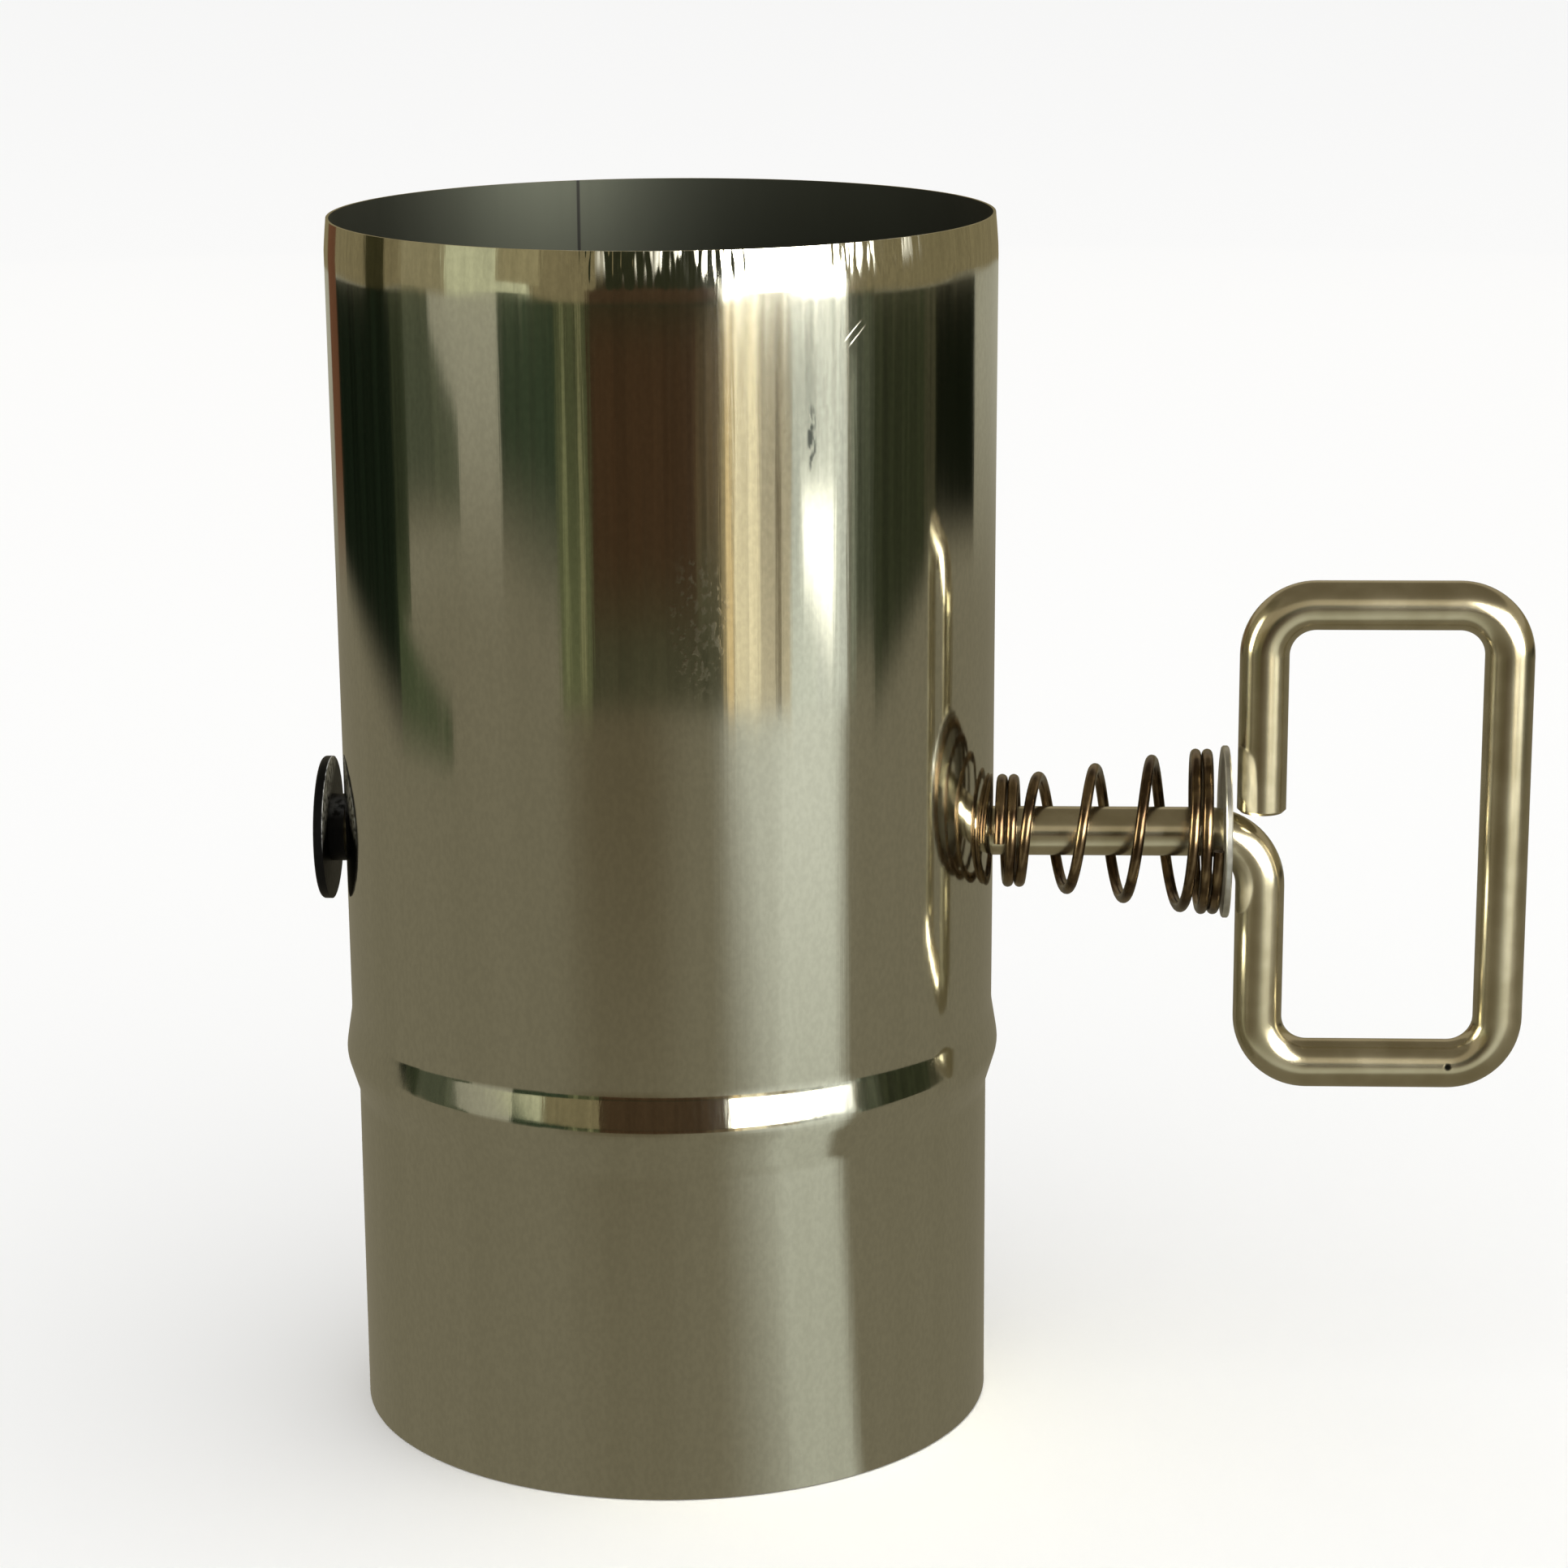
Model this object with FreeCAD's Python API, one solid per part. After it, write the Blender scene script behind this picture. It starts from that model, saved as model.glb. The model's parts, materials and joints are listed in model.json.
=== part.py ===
import FreeCAD, Part
import math
import os

os.makedirs("parts", exist_ok=True)

# Stove pipe damper: a short flue section with a round plate inside, turned by a rod with a loop handle.
# Millimetres. The pipe's axis is +Z and its bottom rim lies on z = 0. The handle is towards +X.
# The plate stands on edge, in line with the pipe, which is the open position.

# Pipe, rolled from thin sheet
pipe_length = 110.5
pipe_wall = 0.5
socket_outer_diameter = 60.0
socket_depth = 24.0
socket_flare = 0.3
socket_flare_length = 20.0
spigot_fit_clearance = 0.3
rim_band_height = 3.2
rim_edge_thickness = 0.25
bead_crest_height = 34.0
bead_crest_width = 0.6
bead_flank_length = 3.4
bead_rise = 0.55
seam_azimuth = 110.0

# Rod: shaft and loop handle
rod_diameter = 4.5
shaft_height = 53.8
shaft_running_clearance = 0.05
shaft_bend_radius = 5.0
handle_standoff = 24.6
handle_width = 22.1
handle_rise = 21.2
handle_drop = 22.1
handle_corner_radius = 4.6
handle_end_gap = 0.25
handle_end_chamfer = 0.3

# Damper plate and the straps that hold it on the shaft
plate_thickness = 0.6
plate_edge_clearance = 1.2
plate_seat_clearance = 0.02
strap_width = 6.0
strap_pitch = 16.0
strap_clearance = 0.05
stake_flat_depth = 0.5
stake_corner_radius = 0.8
stake_end_clearance = 0.2

# Conical spring and the washer that it bears on
spring_wire_diameter = 1.0
spring_narrow_diameter = 10.4
spring_wide_diameter = 15.2
spring_closed_turns_narrow = 2.0
spring_open_turns = 3.0
spring_closed_turns_wide = 2.0
spring_closed_gap = 0.06
spring_blend_turns = 0.5
spring_seat_gap = 0.1
spring_wire_sides = 8
spring_stations_per_turn = 16
washer_outer_diameter = 15.8
washer_thickness = 0.6
washer_hole_clearance = 0.95
washer_seat_clearance = 0.1

# Retaining button on the far end of the shaft
button_diameter = 13.2
button_thickness = 0.9
button_edge_chamfer = 0.35
button_hub_diameter = 6.2
button_hub_length = 1.4
button_wall_gap = 0.15
button_skin = 0.35
button_bore_clearance = 0.02

# Radii and places worked out from the sizes above
socket_radius = socket_outer_diameter / 2
body_radius = socket_radius - socket_flare
spigot_radius = socket_radius - pipe_wall - spigot_fit_clearance
rod_radius = rod_diameter / 2
socket_bottom = pipe_length - socket_depth
plate_radius = body_radius - pipe_wall - plate_edge_clearance
handle_reach = body_radius + handle_standoff
bend_start = handle_reach - shaft_bend_radius
button_face = -(body_radius + button_wall_gap + button_hub_length + button_thickness)
rod_tip = button_face + button_skin
washer_hole_radius = rod_radius + washer_hole_clearance

X_AXIS = FreeCAD.Vector(1, 0, 0)
Y_AXIS = FreeCAD.Vector(0, 1, 0)
Z_AXIS = FreeCAD.Vector(0, 0, 1)
ORIGIN = FreeCAD.Vector(0, 0, 0)
SMALL = 1e-6


def on_shaft(x):
    """The point of the shaft's axis at x."""
    return FreeCAD.Vector(x, 0, shaft_height)


def shaft_bar(radius, start_x, end_x):
    """A round bar on the shaft's axis."""
    return Part.makeCylinder(radius, end_x - start_x, on_shaft(start_x), X_AXIS)


def build_pipe():
    """Sheet tube with a socket, a rolled bead and a spigot, and a round hole on each side for the shaft."""
    crest_radius = body_radius + bead_rise
    crest_bottom = bead_crest_height - bead_crest_width / 2
    crest_top = bead_crest_height + bead_crest_width / 2
    sheet = [
        (spigot_radius, 0.0),
        (spigot_radius, crest_bottom - bead_flank_length),
        (crest_radius, crest_bottom),
        (crest_radius, crest_top),
        (body_radius, crest_top + bead_flank_length),
        (body_radius, socket_bottom - socket_flare_length),
        (socket_radius, socket_bottom),
    ]
    rim_inside = socket_radius - pipe_wall
    rim = [
        (socket_radius, pipe_length - rim_band_height),
        (rim_inside + rim_edge_thickness, pipe_length),
        (rim_inside, pipe_length),
    ]
    inside = [(radius - pipe_wall, height) for radius, height in reversed(sheet)]
    outline = [FreeCAD.Vector(radius, 0, height) for radius, height in sheet + rim + inside]
    section = Part.Face(Part.makePolygon(outline + outline[:1]))
    pipe = section.revolve(ORIGIN, Z_AXIS, 360)
    pipe.rotate(ORIGIN, Z_AXIS, seam_azimuth)
    drill = shaft_bar(rod_radius + shaft_running_clearance, -socket_outer_diameter, socket_outer_diameter)
    return pipe.cut(drill)


def rod_corner(before, corner, after, radius):
    """The arc that rounds a corner of the rod's centre line."""
    arrive = corner + (before - corner).normalize() * radius
    leave = corner + (after - corner).normalize() * radius
    centre = arrive + leave - corner
    middle = centre + (corner - centre).normalize() * radius
    return Part.Arc(arrive, middle, leave)


def build_rod():
    """One round rod: the shaft, a bend down and the loop, which ends in a cut end just above the bend.

    A flat on the shaft, at the pipe's axis, keys the plate's middle strap.
    """
    left = handle_reach
    right = handle_reach + handle_width
    top = shaft_height + handle_rise
    bottom = shaft_height - handle_drop
    bend_crown = shaft_height - shaft_bend_radius + 2 * math.sqrt(shaft_bend_radius * rod_radius)
    cut_height = bend_crown + handle_end_gap
    route = [(rod_tip, shaft_height), (left, shaft_height), (left, bottom), (right, bottom),
             (right, top), (left, top), (left, cut_height)]
    points = [FreeCAD.Vector(x, 0, z) for x, z in route]
    edges = []
    here = points[0]
    for index in range(1, len(points) - 1):
        radius = shaft_bend_radius if index == 1 else handle_corner_radius
        arc = rod_corner(points[index - 1], points[index], points[index + 1], radius)
        edges += [Part.LineSegment(here, arc.StartPoint).toShape(), arc.toShape()]
        here = arc.EndPoint
    edges.append(Part.LineSegment(here, points[-1]).toShape())
    section = Part.Wire(Part.makeCircle(rod_radius, points[0], X_AXIS))
    rod = Part.Wire(edges).makePipeShell([section], True, True)
    cut_edge = [edge for edge in rod.Edges if abs(edge.BoundBox.ZMax - cut_height) < SMALL
                and edge.BoundBox.ZLength < SMALL]
    rod = rod.makeChamfer(handle_end_chamfer, cut_edge)
    flat_length = strap_width + 2 * stake_end_clearance
    flat_low_y = stake_flat_depth - rod_diameter
    flat_corner = FreeCAD.Vector(-flat_length / 2, flat_low_y, shaft_height - rod_radius)
    return rod.cut(Part.makeBox(flat_length, rod_radius, rod_diameter, flat_corner))


def strap_block(x, low_y, high_y, half_width):
    """A block across the shaft, as long as a strap is wide."""
    corner = FreeCAD.Vector(x - strap_width / 2, low_y, shaft_height - half_width)
    return Part.makeBox(strap_width, high_y - low_y, 2 * half_width, corner)


def round_bridge(x, foot_y, reach):
    """The outline of a strap that goes round the shaft, as a solid bar: straight legs and a round crown."""
    legs = strap_block(x, 0.0, foot_y, reach)
    crown = shaft_bar(reach, x - strap_width / 2, x + strap_width / 2)
    return legs.fuse(crown.common(strap_block(x, -reach, 0.0, reach)))


def staked_bridge(crown_y, foot_y, reach, corner_radius):
    """The outline of the middle strap, as a solid bar: straight legs and a crown pressed flat."""
    bar = strap_block(0.0, crown_y, foot_y, reach)
    edges = [edge for edge in bar.Edges if edge.BoundBox.XLength > strap_width / 2
             and abs(edge.BoundBox.YMax - crown_y) < SMALL]
    return bar.makeFillet(corner_radius, edges)


def build_plate():
    """Round sheet disc along the shaft's back, with three straps lanced out of it that pass over the shaft.

    The outer straps follow the round shaft. The middle one is pressed down on the shaft's flat, so the
    plate turns with the shaft.
    """
    near_y = rod_radius + plate_seat_clearance
    far_y = near_y + plate_thickness
    inside = rod_radius + strap_clearance
    outside = inside + plate_thickness
    flat_y = stake_flat_depth - inside
    plate = Part.makeCylinder(plate_radius, plate_thickness, on_shaft(0) + Y_AXIS * near_y, Y_AXIS)
    for x in (-strap_pitch, strap_pitch):
        plate = plate.fuse(round_bridge(x, far_y, outside)).cut(round_bridge(x, far_y, inside))
    outer_corner = stake_corner_radius + plate_thickness
    plate = plate.fuse(staked_bridge(flat_y - plate_thickness, far_y, outside, outer_corner))
    plate = plate.cut(staked_bridge(flat_y, far_y, inside, stake_corner_radius))
    return plate.removeSplitter()


def washer_seat():
    """Where the washer's handle side stops: its hole meets the rod's bend, less a clearance."""
    drop = shaft_bend_radius - washer_hole_radius + washer_seat_clearance
    return bend_start + math.sqrt((shaft_bend_radius - rod_radius) ** 2 - drop ** 2)


def build_washer():
    """Flat washer on the shaft, stopped by the start of the bend."""
    seat = washer_seat()
    disc = shaft_bar(washer_outer_diameter / 2, seat - washer_thickness, seat)
    return disc.cut(shaft_bar(washer_hole_radius, seat - washer_thickness, seat))


def ramp_area(share):
    """The area under a smooth rise from 0 to 1, up to the given share of its width."""
    if share <= 0:
        return 0.0
    if share >= 1:
        return share - 0.5
    return share ** 3 - share ** 4 / 2


def opened_turns(turn):
    """How many of the open turns lie before a turn, with a smooth change from and to the closed turns."""
    open_start = spring_closed_turns_narrow
    open_end = open_start + spring_open_turns
    risen = ramp_area((turn - open_start) / spring_blend_turns + 0.5)
    fallen = ramp_area((turn - open_end) / spring_blend_turns + 0.5)
    return spring_blend_turns * (risen - fallen)


def spring_point(turn):
    """The wire's centre at a turn: a left-hand helix along the shaft that widens over its open turns."""
    wire_radius = spring_wire_diameter / 2
    closed_pitch = spring_wire_diameter + spring_closed_gap
    start = body_radius + spring_seat_gap + wire_radius
    end = washer_seat() - washer_thickness - spring_seat_gap - wire_radius
    turns = spring_closed_turns_narrow + spring_open_turns + spring_closed_turns_wide
    extra_pitch = (end - start - closed_pitch * turns) / spring_open_turns
    opened = opened_turns(turn)
    narrow = spring_narrow_diameter / 2 - wire_radius
    wide = spring_wide_diameter / 2 - wire_radius
    radius = narrow + (wide - narrow) * opened / spring_open_turns
    angle = 2 * math.pi * turn
    along = on_shaft(start + closed_pitch * turn + extra_pitch * opened)
    return along + FreeCAD.Vector(0, -math.cos(angle), math.sin(angle)) * radius


def wire_section(turn):
    """The wire's section at a turn: a polygon with the area of the round wire, square to the wire."""
    step = 1e-4
    centre = spring_point(turn)
    along = (spring_point(turn + step) - spring_point(turn - step)).normalize()
    side = along.cross(centre - on_shaft(centre.x)).normalize()
    outward = side.cross(along)
    sector = 2 * math.pi / spring_wire_sides
    reach = spring_wire_diameter / 2 * math.sqrt(sector / math.sin(sector))
    angles = [sector * (index + 0.5) for index in range(spring_wire_sides)]
    corners = [centre + outward * (reach * math.cos(a)) + side * (reach * math.sin(a)) for a in angles]
    return Part.makePolygon(corners + corners[:1])


def build_spring():
    """Conical spring: the wire's section carried along the helix from station to station."""
    turns = spring_closed_turns_narrow + spring_open_turns + spring_closed_turns_wide
    stations = round(turns * spring_stations_per_turn)
    sections = [wire_section(turns * index / stations) for index in range(stations + 1)]
    return Part.makeLoft(sections, True, True)


def build_button():
    """Round button with a bevelled face and a hub towards the pipe, on the shaft's end in a blind bore."""
    disc_back = button_face + button_thickness
    hub_end = disc_back + button_hub_length
    disc = shaft_bar(button_diameter / 2, button_face, disc_back)
    face_edge = [edge for edge in disc.Edges if abs(edge.BoundBox.XMax - button_face) < SMALL]
    disc = disc.makeChamfer(button_edge_chamfer, face_edge)
    hub = shaft_bar(button_hub_diameter / 2, disc_back, hub_end)
    return disc.fuse(hub).cut(shaft_bar(rod_radius + button_bore_clearance, rod_tip, hub_end))


pieces = {
    "pipe": build_pipe(),
    "handle_rod": build_rod(),
    "damper_plate": build_plate(),
    "return_spring": build_spring(),
    "handle_washer": build_washer(),
    "end_button": build_button(),
}
for node, shape in pieces.items():
    shape.exportStep("parts/" + node + ".step")
    print(node, len(shape.Solids), "solid", round(shape.Volume, 1), "mm3, valid", shape.isValid())
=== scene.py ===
"""Stove pipe damper: the looks of its pieces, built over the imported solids.

Lengths are metres in the part's own frame. The pipe stands on z = 0 along +Z, and the shaft runs along +X.
"""
import json
import math

import bpy
import numpy as np
from mathutils import Matrix, Vector


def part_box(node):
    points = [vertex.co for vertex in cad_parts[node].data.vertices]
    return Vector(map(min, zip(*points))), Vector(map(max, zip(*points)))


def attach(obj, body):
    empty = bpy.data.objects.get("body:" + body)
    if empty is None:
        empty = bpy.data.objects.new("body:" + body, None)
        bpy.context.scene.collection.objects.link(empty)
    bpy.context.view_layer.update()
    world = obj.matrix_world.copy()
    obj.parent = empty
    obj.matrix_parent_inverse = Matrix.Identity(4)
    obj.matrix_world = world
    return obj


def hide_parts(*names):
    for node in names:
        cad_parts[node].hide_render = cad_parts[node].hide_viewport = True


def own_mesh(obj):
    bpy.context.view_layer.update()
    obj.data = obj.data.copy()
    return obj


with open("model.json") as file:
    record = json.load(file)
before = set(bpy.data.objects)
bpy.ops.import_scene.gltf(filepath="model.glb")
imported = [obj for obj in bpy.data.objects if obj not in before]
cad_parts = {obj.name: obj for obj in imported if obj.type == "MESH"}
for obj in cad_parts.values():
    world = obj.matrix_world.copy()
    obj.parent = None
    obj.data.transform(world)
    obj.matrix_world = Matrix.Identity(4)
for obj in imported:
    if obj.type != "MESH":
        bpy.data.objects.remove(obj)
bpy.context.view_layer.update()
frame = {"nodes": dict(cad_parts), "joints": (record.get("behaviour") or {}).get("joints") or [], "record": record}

MM = 0.001
MICRON = 0.001 * MM
joints = {joint["name"]: joint for joint in frame["joints"]}
mounts = {mount["name"]: mount["dims"] for mount in frame["record"]["mounts"]}

# Pipe
PIPE_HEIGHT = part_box("pipe")[1].z
WALL = 0.5 * MM
SPIGOT_RADIUS = mounts["spigot"]["r_mm"] * MM
SPIGOT_LENGTH = mounts["spigot"]["length_mm"] * MM
SOCKET_RADIUS = mounts["socket"]["r_mm"] * MM + WALL
BODY_RADIUS = 29.7 * MM
BEAD_RADIUS = BODY_RADIUS + 0.55 * MM
BEAD_FLANK = 3.4 * MM
BEAD_CREST_WIDTH = 0.6 * MM
CORNER_ROUNDING = 0.5 * MM
RIM_BAND = 3.2 * MM
RIM_EDGE = 0.25 * MM
SHEET_WAVES = 0.03 * MM
BROAD_WAVE_LENGTH = 74 * MM
NARROW_WAVE_LENGTH = 46 * MM
SEAM_AZIMUTH = math.radians(110)

# Marks on the pipe's outside: azimuth in degrees, and height
RIM_STROKES_FRONT = (-86.0, PIPE_HEIGHT)
RIM_STROKES_SIDE = (-48.0, PIPE_HEIGHT)
RIM_STROKES_REACH = 20 * MM
SCUFFS = (-80.6, 79.5 * MM)
SCRATCHES = (-53.1, 103.0 * MM)
SCRATCH_SPACING = 0.9 * MM
SMUDGE = (-61.3, 94.4 * MM)

# Shaft and loop handle
SHAFT_HEIGHT = joints["plate_turn"]["pos_m"][2]
SHAFT_HOLE_CLEARANCE = 0.05 * MM
rod_low, rod_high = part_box("handle_rod")
ROD_RADIUS = rod_high.y
SHAFT_BEND = 5.0 * MM
HANDLE_CORNER = 4.6 * MM
HANDLE_WIDTH = 22.1 * MM
HANDLE_END_GAP = 0.25 * MM
ROD_END_BEVEL = 0.3 * MM
KEY_FLAT_DEPTH = 0.5 * MM
KEY_FLAT_LENGTH = 6.4 * MM

# Spring, washer and button
washer_low, washer_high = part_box("handle_washer")
button_low, button_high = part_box("end_button")
SPRING_WIRE = 1.0 * MM
SPRING_NARROW = 10.4 * MM
SPRING_WIDE = 15.2 * MM
SPRING_CLOSED_TURNS = 2.0
SPRING_OPEN_TURNS = 3.0
SPRING_CLOSED_GAP = 0.06 * MM
SPRING_BLEND_TURNS = 0.5
SPRING_SEAT_GAP = 0.1 * MM
WASHER_HOLE_RADIUS = 3.2 * MM
WASHER_EDGE = 0.12 * MM
BUTTON_HUB_LENGTH = 1.4 * MM
BUTTON_HUB_RADIUS = 3.1 * MM
BUTTON_BEVEL = 0.35 * MM
BUTTON_BORE_CLEARANCE = 0.02 * MM

# Fineness of the meshes
SHARP_ANGLE = math.radians(32)
PIPE_ROWS = 120
PIPE_COLUMNS = 288
CORNER_ROWS = 15
ROD_SIDES = 48
ROD_CORNER_STEPS = 20
SPRING_SIDES = 16
SPRING_STEPS_PER_TURN = 56
TURNED_SIDES = 96
DRILL_SIDES = 64

# Camera, as the photograph was taken: it stands a little towards the handle's side
CAMERA_DISTANCE = 0.3687
CAMERA_HEIGHT = 0.1504
CAMERA_SIDE_ANGLE = math.radians(4.4)
CAMERA_HEADING = math.radians(-2.76)
CAMERA_PITCH = math.radians(14.08)
CAMERA_ROLL = math.radians(-0.40)
CAMERA_SENSOR = 36.0
CAMERA_LENS = 94.8

# Studio: a pale floor, and a table top and cards around the object that only its polish sees
FLOOR_REACH = 6.0
FLOOR_DROP = 0.1 * MM
TABLE_RADIUS = 0.285
PATH_LENGTH = 0.30
PATH_ROWS = 12
PATH_COLUMNS = 15
WIDENED_LENGTH = 0.08
SOFT_LIGHT = 1.05
CARD_DISTANCE = 0.9
LINE_DISTANCE = 0.89
WALL_DISTANCE = 0.92
ALL_ROUND = (-180, 180)

# Heights where cards and walls meet. The pipe's wall mirrors what is below the horizon, the bead mostly what
# is from there up to BEAD_TOP, and the rim what is above it.
WALL_BOTTOM = -0.6
LOWER_WALL_BOTTOM = -0.125
DAY_BOTTOM = -0.16
BROWN_BOTTOM = -0.115
BEAM_EDGE_BOTTOM = -0.018
HORIZON = -0.004
BEAM_EDGE_TOP = -0.002
GREEN_TOP = 0.002
DAY_TOP = 0.006
BEAD_TOP = 0.06
UPPER_WALL_TOP = 0.25
WINDOW_TOP = 0.5
CEILING_HEIGHT = 0.75

# Colours that several of them share
TABLE_GLOW = (0.222, 0.199, 0.139)
PALE_GLOW = (0.60, 0.60, 0.40)
BEAM_GLOW = (0.028, 0.030, 0.015)
FLOOR_EDGE_GLOW = (0.20, 0.182, 0.125)


def skin(name, rings, closed):
    """A mesh over rings of points: each ring joins the next one, and the last the first if closed.

    Open ends are capped with flat faces. Along the rings, the points turn right-handed.
    """
    count, around = rings.shape[:2]
    first = np.arange(count if closed else count - 1)[:, None]
    side = np.arange(around)[None, :]
    after = (first + 1) % count
    beside = (side + 1) % around
    corners = [first * around + side, first * around + beside, after * around + beside, after * around + side]
    faces = np.stack(corners, axis=-1).reshape(-1, 4).tolist()
    if not closed:
        end = np.arange(around)
        faces += [end[::-1].tolist(), (end + (count - 1) * around).tolist()]
    mesh = bpy.data.meshes.new(name)
    mesh.from_pydata(rings.reshape(-1, 3), [], faces)
    mesh.shade_smooth()
    mesh.set_sharp_from_angle(angle=SHARP_ANGLE)
    piece = bpy.data.objects.new(name, mesh)
    bpy.context.scene.collection.objects.link(piece)
    return piece


def circles(centres, radii, outward, sideways, around):
    """Rings: each centre plus its radius times (cos a along outward + sin a along sideways)."""
    angle = np.linspace(0, 2 * np.pi, around, endpoint=False)[None, :, None]
    turn = np.cos(angle) * outward[:, None, :] + np.sin(angle) * sideways[:, None, :]
    return centres[:, None, :] + radii[:, None, None] * turn


def turned(name, radii, places, closed, around=TURNED_SIDES):
    """A piece turned on the shaft's axis: circles of the given radii at the given places along X."""
    radii = np.asarray(radii)
    centres = np.zeros((len(radii), 3))
    centres[:, 0] = places
    centres[:, 2] = SHAFT_HEIGHT
    outward = np.tile([0.0, 1.0, 0.0], (len(radii), 1))
    sideways = np.tile([0.0, 0.0, 1.0], (len(radii), 1))
    return skin(name, circles(centres, radii, outward, sideways, around), closed)


def make_pipe():
    """The sheet tube as a turned shell: up the outside, over the rim, down the inside.

    The section's corner points are joined by straight lines, so the body widens evenly from the bead to the
    rim. Each corner is rounded, as the mean of the line over a short length each way. The rim's bevel takes
    off a power of the height in its band, whose lower edge wanders as a sum of sines of azimuth. The whole
    radius loses shallow waves of the rolled sheet, which are products of sines of azimuth and height.
    """
    crest_bottom = SPIGOT_LENGTH + BEAD_FLANK
    crest_top = crest_bottom + BEAD_CREST_WIDTH
    corner_heights = np.array([SPIGOT_LENGTH, crest_bottom, crest_top, crest_top + BEAD_FLANK, PIPE_HEIGHT])
    corner_radii = [SPIGOT_RADIUS, BEAD_RADIUS, BEAD_RADIUS, BODY_RADIUS, SOCKET_RADIUS]
    spread = np.linspace(-CORNER_ROUNDING, CORNER_ROUNDING, CORNER_ROWS)
    corner_rows = corner_heights[:-1, None] + 2 * spread[::2]
    even_rows = np.linspace(0, PIPE_HEIGHT, PIPE_ROWS)
    outside_height = np.unique(np.concatenate([even_rows, corner_rows.ravel()]))
    inside_height = np.append(outside_height[:0:-2], 0.0)
    azimuth = np.linspace(0, 2 * np.pi, PIPE_COLUMNS, endpoint=False)[None, :]
    band = RIM_BAND * (1 + 0.08 * np.sin(7 * azimuth + 0.4) + 0.05 * np.sin(17 * azimuth))
    bevel = np.clip((outside_height[:, None] - PIPE_HEIGHT + band) / band, 0, 1) ** 1.2
    height = np.concatenate([outside_height, inside_height])[:, None]
    radius = np.interp(height + spread, corner_heights, corner_radii).mean(axis=1)[:, None]
    broad = np.sin(5 * azimuth + 1.1) * np.sin(2 * np.pi * height / BROAD_WAVE_LENGTH + 0.6)
    narrow = np.sin(11 * azimuth + 2.3) * np.sin(2 * np.pi * height / NARROW_WAVE_LENGTH + 1.9)
    radius = radius - SHEET_WAVES * (0.5 + 0.3 * broad + 0.2 * narrow)
    outer_rows = len(outside_height)
    radius[:outer_rows] -= (WALL - RIM_EDGE) * bevel
    radius[outer_rows:] -= WALL
    rings = np.stack([radius * np.cos(azimuth), radius * np.sin(azimuth), height + 0 * azimuth], axis=-1)
    pipe = skin("pipe_shell", rings, True)
    drill_shaft_holes(pipe)
    return pipe


def drill_shaft_holes(pipe):
    """Cuts the shaft's two round holes through the wall."""
    radius = ROD_RADIUS + SHAFT_HOLE_CLEARANCE
    reach = 2 * BODY_RADIUS
    bar = turned("shaft_drill", [radius, radius], [-reach, reach], False, DRILL_SIDES)
    cut = pipe.modifiers.new("shaft_holes", "BOOLEAN")
    cut.object = bar
    cut.solver = "EXACT"
    drilled = pipe.evaluated_get(bpy.context.evaluated_depsgraph_get())
    mesh = bpy.data.meshes.new_from_object(drilled)
    mesh.name = pipe.name
    pipe.modifiers.clear()
    pipe.data = mesh
    bpy.data.objects.remove(bar)


def rod_line():
    """The rod's centre line in the plane y = 0, as points and directions: straight runs and corner arcs.

    An arc turns from one run's direction to the next about a centre one radius inside both runs.
    """
    right = rod_high.x - ROD_RADIUS
    left = right - HANDLE_WIDTH
    top = rod_high.z - ROD_RADIUS
    bottom = rod_low.z + ROD_RADIUS
    cut_height = SHAFT_HEIGHT - SHAFT_BEND + 2 * math.sqrt(SHAFT_BEND * ROD_RADIUS) + HANDLE_END_GAP
    route = np.array([(rod_low.x, SHAFT_HEIGHT), (left, SHAFT_HEIGHT), (left, bottom), (right, bottom),
                      (right, top), (left, top), (left, cut_height)])
    runs = np.diff(route, axis=0)
    ways = runs / np.linalg.norm(runs, axis=1)[:, None]
    radii = [SHAFT_BEND] + [HANDLE_CORNER] * (len(ways) - 2)
    turn = np.linspace(0, np.pi / 2, ROD_CORNER_STEPS)[:, None]
    key_end = KEY_FLAT_LENGTH / 2
    key_step = 0.01 * MM
    shaft_places = np.array([rod_low.x, rod_low.x + ROD_END_BEVEL, -key_end - key_step, -key_end + key_step,
                             key_end - key_step, key_end + key_step])
    points = [np.stack([shaft_places, np.full(len(shaft_places), SHAFT_HEIGHT)], axis=1)]
    directions = [np.tile(ways[0], (len(shaft_places), 1))]
    for corner, before, after, radius in zip(route[1:-1], ways[:-1], ways[1:], radii):
        centre = corner + radius * (after - before)
        points.append(centre + radius * (np.sin(turn) * before - np.cos(turn) * after))
        directions.append(np.cos(turn) * before + np.sin(turn) * after)
    points.append(np.array([[left, cut_height + ROD_END_BEVEL], [left, cut_height]]))
    directions.append(np.tile(ways[-1], (2, 1)))
    return np.concatenate(points), np.concatenate(directions)


def make_rod():
    """The shaft and loop handle: a circle carried along the rod's line, with bevelled ends.

    Over the key's length, points in front of the flat are moved back to it.
    """
    flat_line, flat_way = rod_line()
    line = np.insert(flat_line, 1, 0.0, axis=1)
    way = np.insert(flat_way, 1, 0.0, axis=1)
    sideways = np.tile([0.0, 1.0, 0.0], (len(line), 1))
    outward = np.cross(sideways, way)
    radii = np.full(len(line), ROD_RADIUS)
    radii[[0, -1]] -= ROD_END_BEVEL
    rings = circles(line, radii, outward, sideways, ROD_SIDES)
    on_key = (np.abs(line[:, 0]) < KEY_FLAT_LENGTH / 2)[:, None]
    keyed = np.maximum(rings[..., 1], KEY_FLAT_DEPTH - ROD_RADIUS)
    rings[..., 1] = np.where(on_key, keyed, rings[..., 1])
    return skin("loop_handle", rings, False)


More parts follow.
